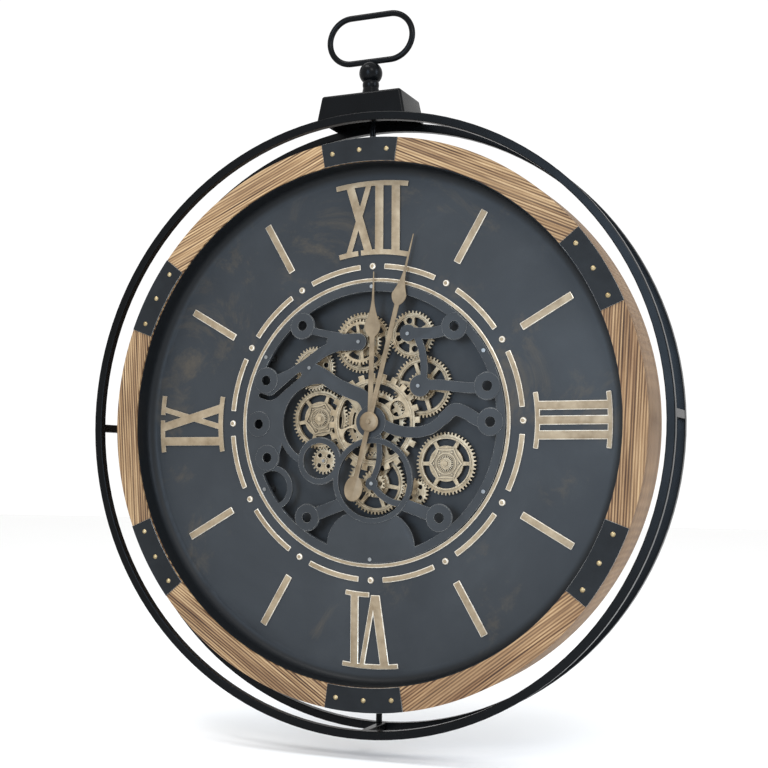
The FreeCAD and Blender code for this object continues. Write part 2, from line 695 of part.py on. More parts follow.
def plan_train():
    """Teeth, places and tooth phases of the meshing wheels, worked out from wheel to wheel."""
    steps = [
        # name, teeth, meshes with, lies towards
        ("centre_gear", 51, None, (0, 0)),
        ("right_gear", 49, "centre_gear", (49.9, 34.9)),
        ("lower_gear", 49, "centre_gear", (0.9, -60)),
        ("left_gear", 49, "centre_gear", (-60.5, 4.1)),
        ("upper_right_gear", 38, "right_gear", (37.9, 85.4)),
        ("top_gear", 49, "upper_right_gear", (-14.1, 79.1)),
        ("upper_left_gear", 36, "left_gear", (-67.1, 55.8)),
        ("drive_gear", 21, "left_gear", (-55.4, -39.4)),
        ("idler_gear", 21, "lower_gear", (43.1, -68.2)),
        ("lower_right_gear", 49, "idler_gear", (73.9, -40.1)),
    ]
    wheels = {}
    for name, teeth, partner, aim in steps:
        if partner is None:
            wheels[name] = {"teeth": teeth, "place": Vector(0, 0, 0), "phase": 90.0}
            continue
        other = wheels[partner]
        place = towards(other["place"], Vector(*aim, 0), mesh_distance(teeth, other["teeth"]))
        run = place - other["place"]
        line = math.degrees(math.atan2(run.y, run.x))
        share = other["teeth"] / teeth
        phase = line + 180 - share * (other["phase"] - line) - 180 / teeth
        wheels[name] = {"teeth": teeth, "place": place, "phase": phase % 360}
    return wheels


WHEELS = plan_train()
LONG_ARBORS = ["top_gear", "upper_right_gear", "right_gear", "lower_gear", "upper_left_gear"]
SHORT_ARBORS = ["left_gear", "idler_gear", "lower_right_gear"]


def arbor_places(kind):
    names = LONG_ARBORS if kind == "long" else SHORT_ARBORS
    return [WHEELS[name]["place"] for name in names]


def toothed_wire(teeth, phase=0.0, pitch_radius=None):
    """Closed outline of a spur wheel with straight-sided, narrow teeth."""
    pitch = pitch_radius or size("gear_module") * teeth / 2
    tip, root = pitch + size("addendum"), pitch - size("dedendum")
    step = 2 * math.pi / teeth
    half_tip, half_root = 0.13 * step * pitch / tip, 0.27 * step * pitch / root
    points = []
    for index in range(teeth):
        middle = math.radians(phase) + index * step
        for radius, angle in ((root, middle - half_root), (tip, middle - half_tip),
                              (tip, middle + half_tip), (root, middle + half_root)):
            points.append(Vector(radius * math.cos(angle), radius * math.sin(angle), 0))
    return Part.makePolygon(points + points[:1])


def window(inner, outer, middle, half_inner, half_outer, corner=1.2):
    """A rounded opening between two spokes; angles count anticlockwise from the right."""
    def spot(radius, degrees):
        angle = math.radians(degrees)
        return Vector(radius * math.cos(angle), radius * math.sin(angle), 0)

    near, far = inner + corner, outer - corner
    half_near = half_inner - math.degrees(corner / near)
    half_far = half_outer - math.degrees(corner / far)
    edges = [Part.Arc(spot(far, middle - half_far), spot(far, middle),
                      spot(far, middle + half_far)).toShape(),
             Part.makeLine(spot(far, middle + half_far), spot(near, middle + half_near)),
             Part.Arc(spot(near, middle + half_near), spot(near, middle),
                      spot(near, middle - half_near)).toShape(),
             Part.makeLine(spot(near, middle - half_near), spot(far, middle - half_far))]
    return Part.Wire(Part.Wire(edges).makeOffset2D(corner, 0, False, False).Edges)


def round_hole(radius, distance, degrees):
    angle = math.radians(degrees)
    centre = Vector(distance * math.cos(angle), distance * math.sin(angle), 0)
    return Part.Wire(Part.makeCircle(radius, centre))


def bore_wire(radius):
    return Part.Wire(Part.makeCircle(radius))


def spoked(inner, outer, spokes, start, gap):
    """Openings between evenly spaced spokes, the first spoke at the given angle."""
    step = 360 / spokes
    openings = []
    for index in range(spokes):
        middle = start + step * (index + 0.5)
        half_inner = step / 2 - math.degrees(gap / inner)
        half_outer = step / 2 - math.degrees(gap / outer)
        openings.append(window(inner, outer, middle, half_inner, half_outer))
    return openings


def pierced(wire, openings):
    """The face inside a closed outline, less its openings."""
    return Part.Face(wire).cut([Part.Face(opening) for opening in openings])


def wheel_blank(name, wire, openings, bore, thickness):
    return slab(name, pierced(wire, openings + [bore_wire(bore)]), thickness)


def star_wire(radius, waist, start):
    """Six-pointed outline with hollow sides between its points."""
    edges = []
    for index in range(6):
        first = math.radians(start + 60 * index)
        second = math.radians(start + 60 * index + 60)
        middle = (first + second) / 2
        edges.append(Part.Arc(Vector(radius * math.cos(first), radius * math.sin(first), 0),
                              Vector(waist * math.cos(middle), waist * math.sin(middle), 0),
                              Vector(radius * math.cos(second), radius * math.sin(second), 0)).toShape())
    return Part.Wire(edges)


def raised_ring(name, outer, inner, rise, z):
    return ring(name, outer, inner, rise, z=z)


def spoke_wheel(name, start):
    """Large wheel with six spokes, a raised rim line, a star boss, rivets and a knurled centre."""
    wheel = WHEELS[name]
    bore = size("arbor_radius") + size("running_gap")
    blank = wheel_blank(name + "_blank", toothed_wire(wheel["teeth"], wheel["phase"]),
                        spoked(17.2, 24.0, 6, start, 1.7), bore, "wheel_thickness")
    pieces = [blank, raised_ring(name + "_rim", 25.4, 24.2, 0.7, "wheel_thickness")]
    rib = pierced(star_wire(16.6, 13.6, start), [star_wire(14.9, 12.3, start)])
    pieces.append(slab(name + "_star", rib, 1.1, z="wheel_thickness"))
    pieces.append(raised_ring(name + "_band", 10.6, 9.6, 0.8, "wheel_thickness"))
    for index in range(6):
        angle = math.radians(start + 60 * index)
        rivet = cylinder(f"{name}_rivet_{index}", 0.9, 1.2, 12.4 * math.cos(angle),
                         12.4 * math.sin(angle), "wheel_thickness")
        pieces.append(rivet)
    knurl = wheel_blank(name + "_knurl", toothed_wire(24, 0.0, 6.7), [], bore, 1.4)
    pieces.append(at(knurl, z="wheel_thickness"))
    pieces.append(raised_ring(name + "_eye", 3.6, bore, 1.9, "wheel_thickness"))
    stand(fuse(name, pieces), name, wheel["place"].x, wheel["place"].y, "wheel_height")


def small_wheel(name, holes_at):
    """Small solid wheel with four round holes and a boss."""
    wheel = WHEELS[name]
    bore = size("arbor_radius") + size("running_gap")
    holes = [round_hole(2.3, 7.1, holes_at + 90 * index) for index in range(4)]
    blank = wheel_blank(name + "_blank", toothed_wire(wheel["teeth"], wheel["phase"]), holes, bore,
                        "wheel_thickness")
    collar = raised_ring(name + "_boss", 3.4, bore, 1.2, "wheel_thickness")
    stand(fuse(name, [blank, collar]), name, wheel["place"].x, wheel["place"].y, "wheel_height")


def compound_wheel(name, start, small_teeth, small_openings, openings=None):
    """Large spoked wheel with a smaller one moulded in front of it on the same hub."""
    wheel = WHEELS[name]
    bore = size("arbor_radius") + size("running_gap")
    gaps = openings if openings is not None else spoked(13.5, 24.0, 6, start, 1.8)
    blank = wheel_blank(name + "_blank", toothed_wire(wheel["teeth"], wheel["phase"]), gaps, bore,
                        "wheel_thickness")
    hub = raised_ring(name + "_hub", 6.0, bore, "small_height - wheel_height - wheel_thickness",
                      "wheel_thickness")
    pieces = [blank, hub, raised_ring(name + "_rim", 26.2, 25.0, 0.7, "wheel_thickness")]
    front = wheel_blank(name + "_small", toothed_wire(small_teeth, 0.0), small_openings, bore,
                        "small_thickness")
    pieces.append(at(front, z="small_height - wheel_height"))
    stand(fuse(name, pieces), name, wheel["place"].x, wheel["place"].y, "wheel_height")


def make_wheels():
    spoke_wheel("left_gear", 70)
    spoke_wheel("lower_right_gear", 60)
    small_wheel("drive_gear", 40)
    small_wheel("idler_gear", 45)
    compound_wheel("top_gear", 20, 36, spoked(9.0, 17.5, 6, 100, 1.4))
    four_holes = [round_hole(2.3, 7.6, 45 + 90 * index) for index in range(4)]
    compound_wheel("right_gear", 48, 20, four_holes)
    compound_wheel("lower_gear", 50, 20, [round_hole(2.3, 7.6, 90 * index) for index in range(4)])

    bore = size("arbor_radius") + size("running_gap")
    wheel = WHEELS["upper_right_gear"]
    openings = []
    for index in range(4):
        openings.append(round_hole(3.2, 14.2, 102 + 90 * index))
        openings.append(window(9.6, 17.6, 147 + 90 * index, 20, 24))
    blank = wheel_blank("upper_right_blank", toothed_wire(wheel["teeth"], wheel["phase"]), openings,
                        bore, "wheel_thickness")
    pieces = [blank, raised_ring("upper_right_rim", 19.6, 18.6, 0.7, "wheel_thickness"),
              raised_ring("upper_right_hub", 5.0, bore, 4.0, "wheel_thickness")]
    stand(fuse("upper_right_gear", pieces), "upper_right_gear", wheel["place"].x,
          wheel["place"].y, "wheel_height")

    wheel = WHEELS["upper_left_gear"]
    openings = [round_hole(2.8, 13.0, 15 + 45 * index) for index in range(8)]
    blank = wheel_blank("upper_left_blank", toothed_wire(wheel["teeth"], wheel["phase"]), openings,
                        bore, "wheel_thickness")
    pieces = [blank, raised_ring("upper_left_rim", 18.6, 17.6, 0.7, "wheel_thickness"),
              raised_ring("upper_left_hub", 5.0, bore, 4.0, "wheel_thickness")]
    stand(fuse("upper_left_gear", pieces), "upper_left_gear", wheel["place"].x,
          wheel["place"].y, "wheel_height")


def make_centre_wheel():
    """Toothed centre wheel and the large castellated wheel in front of it, on one sleeve."""
    wheel = WHEELS["centre_gear"]
    bore = size("tube_outer") + size("running_gap")
    blank = wheel_blank("centre_gear_blank", toothed_wire(wheel["teeth"], wheel["phase"]),
                        spoked(14.0, 25.0, 6, 30, 2.0), bore, "wheel_thickness")
    sleeve = raised_ring("centre_gear_sleeve", 9.5, bore,
                         "castle_height - wheel_height - wheel_thickness", "wheel_thickness")
    stand(fuse("centre_gear", [blank, sleeve]), "centre_gear", z="wheel_height")

    tip, root = size("castle_tip"), size("castle_root")
    openings = [round_hole(7.8, 28.0, 28), round_hole(7.8, 28.0, 208),
                window(19.5, 38.0, 76, 20, 32, 3.0), window(20.0, 38.0, -2, 8, 10, 1.5),
                window(19.5, 37.5, -42, 16, 21, 3.0), window(19.5, 37.5, -88, 14, 18, 3.0),
                window(19.5, 38.0, 166, 20, 25, 3.0), window(19.5, 38.0, 121, 8, 9, 2.0),
                window(19.5, 37.5, 240, 8, 10, 2.0)]
    plate = pierced(bore_wire(root), openings + [bore_wire(bore)])
    teeth = []
    for index in range(24):
        block = doc.addObject("Part::Box", f"castle_tooth_{index}")
        bind(block, Length="castle_tip - castle_root + 1.5", Width=5.8, Height="castle_thickness")
        angle = math.radians(index * 15 + 2.5)
        along = Vector(math.cos(angle), math.sin(angle), 0)
        across = Vector(-math.sin(angle), math.cos(angle), 0)
        corner = along * (root - 1.5) - across * 2.9
        at(block, corner.x, corner.y, 0, math.degrees(angle))
        teeth.append(block)
    web = slab("castle_web", plate, "castle_thickness")
    rim = raised_ring("castle_rim", 40.6, 39.4, 0.6, "castle_thickness")
    collar = raised_ring("castle_collar", 20.4, 17.2, 0.8, "castle_thickness")
    stand(fuse("castle_wheel", [web, rim, collar] + teeth), "castle_wheel", z="castle_height")


def make_arbors():
    """Fixed axles. The long ones are riveted over in front of the skeleton plate."""
    long_ones = []
    foot = "base_rear"
    for number, place in enumerate(arbor_places("long")):
        rod = cylinder(f"long_arbor_rod_{number}", "arbor_radius",
                       "dial_front + plate_thickness - base_rear", place.x, place.y, foot)
        head = cylinder(f"long_arbor_head_{number}", "arbor_head", 0.9, place.x, place.y,
                        "dial_front + plate_thickness")
        shoulder = cylinder(f"long_arbor_shoulder_{number}", 3.6,
                            "wheel_height - base_rear - base_thickness - 0.3", place.x, place.y,
                            "base_rear + base_thickness")
        long_ones.append(fuse(f"long_arbor_{number}", [rod, head, shoulder]))
    stand(group("long_arbors", long_ones), "long_arbors")
    short_ones = []
    for number, place in enumerate(arbor_places("short")):
        rise = "wheel_height + wheel_thickness + 2 - base_rear"
        rod = cylinder(f"short_arbor_rod_{number}", "arbor_radius", rise, place.x, place.y, foot)
        head = cylinder(f"short_arbor_head_{number}", 2.3, 0.7, place.x, place.y,
                        "wheel_height + wheel_thickness + 2")
        shoulder = cylinder(f"short_arbor_shoulder_{number}", 3.6,
                            "wheel_height - base_rear - base_thickness - 0.3", place.x, place.y,
                            "base_rear + base_thickness")
        short_ones.append(fuse(f"short_arbor_{number}", [rod, head, shoulder]))
    stand(group("short_arbors", short_ones), "short_arbors")

    tube = ring("centre_tube_wall", "tube_outer", "tube_bore", "hour_height - base_rear - base_thickness - 1",
                z="base_rear + base_thickness")
    flange = ring("centre_tube_flange", 12.0, "tube_bore",
                  "wheel_height - base_rear - base_thickness - 0.3", z="base_rear + base_thickness")
    stand(fuse("centre_tube", [tube, flange]), "centre_tube")


# ---- hands ----------------------------------------------------------------------------------------

def spade(length, hub, stem, shoulder, widest, half_width, foot):
    """A spade hand pointing to twelve, drawn by its right side and mirrored."""
    right = [
        Part.makeLine(Vector(stem / 2, 0, 0), Vector(stem / 2, foot, 0)),
        Part.Arc(Vector(stem / 2, foot, 0), Vector(half_width * 0.72, foot + (widest - foot) * 0.3, 0),
                 Vector(half_width, widest, 0)).toShape(),
        Part.Arc(Vector(half_width, widest, 0),
                 Vector(half_width * 0.42, widest + (shoulder - widest) * 0.48, 0),
                 Vector(1.3, shoulder, 0)).toShape(),
        Part.makeLine(Vector(1.3, shoulder, 0), Vector(0.5, length, 0)),
    ]
    left = [edge.mirror(Vector(0, 0, 0), Vector(1, 0, 0)) for edge in right]
    joins = [Part.makeLine(Vector(0.5, length, 0), Vector(-0.5, length, 0)),
             Part.makeLine(Vector(-stem / 2, 0, 0), Vector(stem / 2, 0, 0))]
    edges = Part.sortEdges(right + left + joins)[0]
    return union([Part.Face(Part.Wire(edges)), disc(0, 0, hub)])


def make_hands():
    angle = size("minute_angle")
    hour_face = spade(size("hour_length"), 6.5, 5.4, 121.0, 95.0, 8.6, 83.0)
    hour = slab("hour_hand_blade", hour_face.cut(disc(0, 0, size("hour_bore"))), "hand_thickness")
    pipe = ring("hour_pipe_wall", "hour_pipe", "hour_bore", "hour_height - base_rear - 3",
                z="base_rear + 3 - hour_height")
    stand(fuse("hour_hand", [hour, pipe]), "hour_hand", z="hour_height", turn=-angle / 12)

    blade = spade(size("minute_length"), 6.5, 5.0, 152.0, 127.5, 7.8, 117.0)
    counter = band(5.2, [(0, 0), (0, -60)])
    ellipse = Part.Ellipse(Vector(0, -54.5, 0), Vector(9.6, -67, 0), Vector(0, -67, 0))
    leaf_face = Part.Face(Part.Wire(ellipse.toShape()))
    face = union([blade, counter, leaf_face])
    minute = slab("minute_hand_blade", face, "hand_thickness")
    arbor = cylinder("minute_arbor_rod", "minute_arbor", "minute_height - base_rear - 1",
                     z="base_rear + 1 - minute_height")
    stand(fuse("minute_hand", [minute, arbor]), "minute_hand", z="minute_height", turn=-angle)
    boss = cylinder("hand_cap_boss", "hand_cap", "cap_thickness * 0.45")
    dome = doc.addObject("Part::Cone", "hand_cap_dome")
    bind(dome, Radius1="hand_cap", Radius2="hand_cap * 0.8", Height="cap_thickness * 0.55")
    at(dome, z="cap_thickness * 0.45")
    nut = cylinder("hand_cap_nut", 2.2, 1.6, z="cap_thickness")
    stand(fuse("hand_cap", [boss, dome, nut]), "hand_cap", z="minute_height + hand_thickness")


# ---- movement, motor and battery holder -----------------------------------------------------------

def make_movement():
    side = size("movement_side")
    case = doc.addObject("Part::Box", "movement_blank")
    bind(case, Length="movement_side", Width="movement_side", Height="movement_depth")
    at(case, -side / 2, -side / 2)
    doc.recompute()
    softened = doc.addObject("Part::Fillet", "movement_softened")
    softened.Base = case
    softened.Edges = [(index, 4.0, 4.0) for index, edge in enumerate(case.Shape.Edges, start=1)
                      if edge.BoundBox.ZLength > 5]
    bay = doc.addObject("Part::Box", "movement_cell_bay")
    bay.Length, bay.Width, bay.Height = 51.0, 14.8, 15.7
    at(bay, -25.5, -25.0, -0.5)
    spindle = cylinder("movement_spindle_hole", "hour_pipe + 0.6", 40.0, z=3.0)
    knob_hole = cylinder("movement_knob_hole", 2.25, 8.0, 16.0, 14.0, -1.0)
    knob_well = cylinder("movement_knob_well", 7.0, 3.2, 16.0, 14.0, -1.0)
    tools = group("movement_tools", [bay, spindle, fuse("movement_knob_seat", [knob_hole, knob_well])])
    stand(cut("movement_case", softened, tools), "movement_case", z="base_rear - movement_depth")
    nut = ring("centre_nut_ring", 4.55, "hour_pipe + 0.3", 3.0)
    stand(nut, "centre_nut", z="base_rear + 0.1")

    knob = cylinder("set_knob_disc", 6.0, 1.4, z=0.4)
    stem = cylinder("set_knob_stem", 2.2, 4.6, z=0.4)
    stand(fuse("set_knob", [knob, stem]), "set_knob", 16.0, 14.0)


def make_motor():
    """Flat geared motor that carries the drive gear on its shaft, and its two-cell holder."""
    place = WHEELS["drive_gear"]["place"]
    can = cylinder("motor_can", "motor_radius", "motor_depth", place.x, place.y,
                   "base_rear - motor_depth")
    well = cylinder("motor_shaft_well", "arbor_radius + running_gap", 20.0, place.x, place.y,
                    "base_rear - 8.2")
    stand(cut("gear_motor", can, well), "gear_motor")
    shaft = cylinder("motor_shaft", "arbor_radius", "wheel_height + wheel_thickness + 10 - base_rear")
    stand(shaft, "motor_shaft", place.x, place.y, "base_rear - 8")


def make_holder():
    length, width, depth = size("holder_length"), size("holder_width"), size("holder_depth")
    x, y = -5.0, -90.0
    blank = doc.addObject("Part::Box", "holder_blank")
    bind(blank, Length="holder_length", Width="holder_width", Height="holder_depth")
    at(blank, x, y)
    radius, reach = size("cell_radius"), size("cell_length")
    bays = []
    cells = []
    for row in (0, 1):
        bay = doc.addObject("Part::Box", f"holder_bay_{row}")
        bay.Length, bay.Width, bay.Height = reach + 1.5, 2 * radius + 0.3, 14.8
        at(bay, x + (length - reach - 1.5) / 2, y + 2.0 + row * 15.3, -1.5)
        bays.append(bay)
        cell = cylinder(f"cell_{row}", "cell_radius", "cell_length")
        centre_y = y + 2.0 + row * 15.3 + radius + 0.15
        cell.Placement = Placement(Vector(x + (length - reach) / 2, centre_y, 0),
                                   Rotation(Vector(0, 1, 0), 90))
        cells.append(cell)
    switch_slot = doc.addObject("Part::Box", "switch_slot")
    switch_slot.Length, switch_slot.Width, switch_slot.Height = 2.6, 9.0, 2.0
    at(switch_slot, x + 1.0, y + 12.0, -0.5)
    stand(cut("battery_holder", blank, group("holder_tools", bays + [switch_slot])),
          "battery_holder", z="base_rear - holder_depth")
    button = doc.addObject("Part::Box", "power_switch_button")
    button.Length, button.Width, button.Height = 2.2, 4.0, 2.1
    stand(button, "power_switch", x + 1.2, y + 12.4, 0.8)
    movement_cell = cylinder("cell_2", "cell_radius", "cell_length")
    movement_cell.Placement = Placement(Vector(-25.0, -17.6, 0), Rotation(Vector(0, 1, 0), 90))
    stand(group("aa_cells", cells + [movement_cell]), "aa_cells", z=8.0)


make_hoop()
make_crown()
make_bow()
upper_stud, lower_stud = make_studs()
make_drum((upper_stud, lower_stud))
make_cover()
make_dial()
make_numerals()
make_markers()
make_plate()
make_wheels()
make_centre_wheel()
make_arbors()
make_hands()
make_movement()
make_motor()
make_holder()

doc.recompute()
for item in doc.Objects:
    if "Invalid" in item.State or "Error" in item.State:
        raise RuntimeError(f"{item.Label} failed: {item.State}")
os.makedirs("parts", exist_ok=True)
for item in subparts:
    shape = item.Shape
    if shape.isNull() or not shape.isValid():
        raise RuntimeError(f"{item.Label} has no valid shape")
    shape.exportStep(f"parts/{item.Label}.step")
print(len(subparts), "sub-parts")
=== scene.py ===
import bmesh
import bpy
import json
import math
from mathutils import Matrix, Vector


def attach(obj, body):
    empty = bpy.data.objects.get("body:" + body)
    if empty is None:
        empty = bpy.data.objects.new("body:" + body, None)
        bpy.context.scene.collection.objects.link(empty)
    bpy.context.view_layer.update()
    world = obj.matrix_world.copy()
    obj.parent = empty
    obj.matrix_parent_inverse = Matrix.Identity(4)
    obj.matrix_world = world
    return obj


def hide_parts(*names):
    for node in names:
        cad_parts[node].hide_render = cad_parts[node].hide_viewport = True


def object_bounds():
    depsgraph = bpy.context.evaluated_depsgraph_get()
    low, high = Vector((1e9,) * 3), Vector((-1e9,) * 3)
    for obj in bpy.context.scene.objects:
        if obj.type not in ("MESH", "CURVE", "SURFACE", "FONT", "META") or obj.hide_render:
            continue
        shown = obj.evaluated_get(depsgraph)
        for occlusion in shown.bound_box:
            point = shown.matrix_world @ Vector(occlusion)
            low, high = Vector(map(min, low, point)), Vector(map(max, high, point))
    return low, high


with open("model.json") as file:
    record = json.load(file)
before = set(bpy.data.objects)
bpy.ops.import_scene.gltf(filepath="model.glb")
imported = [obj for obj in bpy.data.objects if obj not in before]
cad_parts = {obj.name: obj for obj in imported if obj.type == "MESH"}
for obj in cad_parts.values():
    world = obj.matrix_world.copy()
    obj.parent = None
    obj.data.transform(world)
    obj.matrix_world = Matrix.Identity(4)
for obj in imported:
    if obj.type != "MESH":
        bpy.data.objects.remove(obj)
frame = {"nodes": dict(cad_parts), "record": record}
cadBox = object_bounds()
nodes = frame["nodes"]
record = frame["record"]
bodyOf = {name: body for body, members in record["behaviour"]["bodies"].items() for name in members}
slotOf = {row["node"]: row["material_slot"] for row in record["subparts"]}
print("loaded the clock's frame:", len(nodes), "nodes")


def newMaterial(name, colour, metallic, roughness, specular=0.5):
    material = bpy.data.materials.new(name)
    material.use_nodes = True
    shader = shaderOf(material)
    shader.inputs["Base Color"].default_value = (*colour, 1)
    shader.inputs["Metallic"].default_value = metallic
    shader.inputs["Roughness"].default_value = roughness
    shader.inputs["Specular IOR Level"].default_value = specular
    return material


def shaderOf(material):
    return material.node_tree.nodes["Principled BSDF"]


def addNode(material, kind, **settings):
    node = material.node_tree.nodes.new(kind)
    for key, value in settings.items():
        if key in node.inputs:
            node.inputs[key].default_value = value
        else:
            setattr(node, key, value)
    return node


def join(material, source, output, target, entry):
    feed(material, source.outputs[output], target, entry)


def feed(material, value, target, entry):
    material.node_tree.links.new(value, target.inputs[entry])


def objectPlace(material, scale=(1, 1, 1), turn=(0, 0, 0), shift=(0, 0, 0)):
    coordinate = addNode(material, "ShaderNodeTexCoord")
    mapping = addNode(material, "ShaderNodeMapping", Scale=scale, Rotation=turn, Location=shift)
    join(material, coordinate, "Object", mapping, "Vector")
    return mapping


def noiseOn(material, mapping, scale, detail=4.0, roughness=0.55, distortion=0.0):
    noise = addNode(material, "ShaderNodeTexNoise", Scale=scale, Detail=detail,
                    Roughness=roughness, Distortion=distortion)
    join(material, mapping, "Vector", noise, "Vector")
    return noise


def rampFrom(material, source, output, stops):
    ramp = addNode(material, "ShaderNodeValToRGB")
    elements = ramp.color_ramp.elements
    while len(elements) < len(stops):
        elements.new(0.5)
    for element, (place, colour) in zip(elements, stops):
        element.position = place
        element.color = (*colour, 1)
    join(material, source, output, ramp, "Fac")
    return ramp


def greyRamp(material, source, output, stops):
    return rampFrom(material, source, output, [(place, (tone, tone, tone)) for place, tone in stops])


def rangeFrom(material, source, output, low, high):
    spread = addNode(material, "ShaderNodeMapRange")
    spread.inputs["To Min"].default_value = low
    spread.inputs["To Max"].default_value = high
    join(material, source, output, spread, "Value")
    return spread


def bumpFrom(material, source, output, strength, distance, normal=None):
    bump = addNode(material, "ShaderNodeBump", Strength=strength, Distance=distance)
    join(material, source, output, bump, "Height")
    if normal:
        join(material, normal, "Normal", bump, "Normal")
    join(material, bump, "Normal", shaderOf(material), "Normal")
    return bump


def blended(material, mode, amount, first, second):
    # amount is a number, or the output that says how much of the second colour shows
    mix = addNode(material, "ShaderNodeMix", data_type="RGBA", blend_type=mode)
    colourA, colourB, colourResult = 6, 7, 2  # the colour sockets of a mix node, by number
    if isinstance(amount, (int, float)):
        mix.inputs["Factor"].default_value = amount
    else:
        feed(material, amount, mix, "Factor")
    feed(material, first, mix, colourA)
    if isinstance(second, tuple):
        mix.inputs[colourB].default_value = (*second, 1)
    else:
        feed(material, second, mix, colourB)
    return mix.outputs[colourResult]


def radiusFrom(material):
    # distance from the axis of the hands
    flat = objectPlace(material, scale=(1, 0, 1))
    radius = addNode(material, "ShaderNodeVectorMath", operation="LENGTH")
    join(material, flat, "Vector", radius, 0)
    return radius


def paintedMaterial(name, values):
    # clouds of tone, a darker film painted into the corners and recesses as painted shade, and a fine
    # grain
    material = newMaterial(name, values["light"], values["metallic"], 0.5, values["specular"])
    shader = shaderOf(material)
    mapping = objectPlace(material)
    cloud = noiseOn(material, mapping, values["cloudScale"], 6.0, 0.6)
    colours = rampFrom(material, cloud, "Fac", [(0.3, values["dark"]), (0.7, values["light"])])
    colour = colours.outputs["Color"]
    if "paintedShadeReach" in values:
        # ambient occlusion darkens the colour where shade falls in corners and recesses: painted shade
        occlusion = addNode(material, "ShaderNodeAmbientOcclusion", Distance=values["paintedShadeReach"],
                         samples=6)
        paintedShadeFilm = greyRamp(material, occlusion, "AO", [(0.35, values["paintedShadeTone"]), (0.95, 1.0)])
        colour = blended(material, "MULTIPLY", 1.0, colour, paintedShadeFilm.outputs["Color"])
    feed(material, colour, shader, "Base Color")
    rough = rangeFrom(material, noiseOn(material, mapping, values["cloudScale"] * 2.7, 5.0), "Fac",
                      *values["roughness"])
    join(material, rough, "Result", shader, "Roughness")
    bumpFrom(material, noiseOn(material, mapping, values["grainScale"], 3.0), "Fac",
             values["grainStrength"], 0.0004)
    return material


blackSteelValues = {"dark": (0.0012, 0.0014, 0.0016), "light": (0.0026, 0.003, 0.0035), "metallic": 0.0,
                    "specular": 0.09, "cloudScale": 14.0, "roughness": (0.2, 0.34),
                    "grainScale": 700.0, "grainStrength": 0.07}
jointPlateValues = {"dark": (0.006, 0.0068, 0.0076), "light": (0.012, 0.0136, 0.0152), "metallic": 0.0,
                    "specular": 0.15, "cloudScale": 30.0, "roughness": (0.45, 0.65),
                    "grainScale": 1100.0, "grainStrength": 0.16}
plateValues = {"dark": (0.022, 0.024, 0.026), "light": (0.033, 0.036, 0.0385), "metallic": 0.0,
               "specular": 0.18, "cloudScale": 22.0, "roughness": (0.36, 0.52),
               "grainScale": 900.0, "grainStrength": 0.1}
# pale colours for the bevelled edges of plate pieces: a painted highlight
plateHighlightEdgeValues = {"dark": (0.1, 0.1, 0.098), "light": (0.55, 0.53, 0.49), "metallic": 0.2,
                   "specular": 0.4, "cloudScale": 90.0, "roughness": (0.3, 0.45),
                   "grainScale": 900.0, "grainStrength": 0.1}
goldValues = {"dark": (0.185, 0.132, 0.076), "light": (0.33, 0.255, 0.165), "metallic": 0.3,
              "specular": 0.3, "cloudScale": 70.0, "roughness": (0.36, 0.52), "grainScale": 1300.0,
              # the last two values set the painted shade in corners and recesses
              "grainStrength": 0.12, "paintedShadeReach": 0.004, "paintedShadeTone": 0.3}
# pale colours for the bevelled edges of gold markings: a painted highlight
goldHighlightEdgeValues = {"dark": (0.42, 0.36, 0.28), "light": (0.8, 0.73, 0.62), "metallic": 0.3,
                  "specular": 0.5, "cloudScale": 160.0, "roughness": (0.22, 0.34),
                  "grainScale": 1300.0, "grainStrength": 0.06}
gearValues = {"dark": (0.19, 0.14, 0.08), "light": (0.41, 0.32, 0.205), "metallic": 0.35,
              "specular": 0.35, "cloudScale": 120.0, "roughness": (0.28, 0.45), "grainScale": 1500.0,
              # the last two values set the painted shade in corners and recesses
              "grainStrength": 0.14, "paintedShadeReach": 0.004, "paintedShadeTone": 0.12}
# pale colours for the bevelled edges of gears: a painted highlight
gearHighlightEdgeValues = {"dark": (0.55, 0.47, 0.34), "light": (0.85, 0.75, 0.58), "metallic": 0.35,
                  "specular": 0.45, "cloudScale": 200.0, "roughness": (0.24, 0.36),
                  "grainScale": 1500.0, "grainStrength": 0.08}
handValues = {"dark": (0.12, 0.083, 0.046), "light": (0.25, 0.185, 0.112), "metallic": 0.35,
              "specular": 0.35, "cloudScale": 50.0, "roughness": (0.34, 0.48), "grainScale": 1300.0,
              "grainStrength": 0.08}
nailValues = {"dark": (0.26, 0.19, 0.09), "light": (0.46, 0.37, 0.22), "metallic": 1.0,
              "specular": 0.5, "cloudScale": 120.0, "roughness": (0.3, 0.45),
              "grainScale": 2000.0, "grainStrength": 0.05}
steelValues = {"dark": (0.14, 0.135, 0.13), "light": (0.26, 0.255, 0.24), "metallic": 1.0,
               "specular": 0.5, "cloudScale": 90.0, "roughness": (0.28, 0.45),
               "grainScale": 1600.0, "grainStrength": 0.06}
boardValues = {"dark": (0.014, 0.014, 0.015), "light": (0.03, 0.03, 0.031), "metallic": 0.0,
               "specular": 0.25, "cloudScale": 60.0, "roughness": (0.7, 0.9),
               "grainScale": 1500.0, "grainStrength": 0.5}
plasticValues = {"dark": (0.012, 0.012, 0.013), "light": (0.02, 0.02, 0.021), "metallic": 0.0,
                 "specular": 0.35, "cloudScale": 80.0, "roughness": (0.45, 0.6),
                 "grainScale": 2600.0, "grainStrength": 0.35}
cellValues = {"dark": (0.3, 0.2, 0.06), "light": (0.4, 0.28, 0.1), "metallic": 0.6,
              "specular": 0.5, "cloudScale": 50.0, "roughness": (0.25, 0.35),
              "grainScale": 500.0, "grainStrength": 0.03}

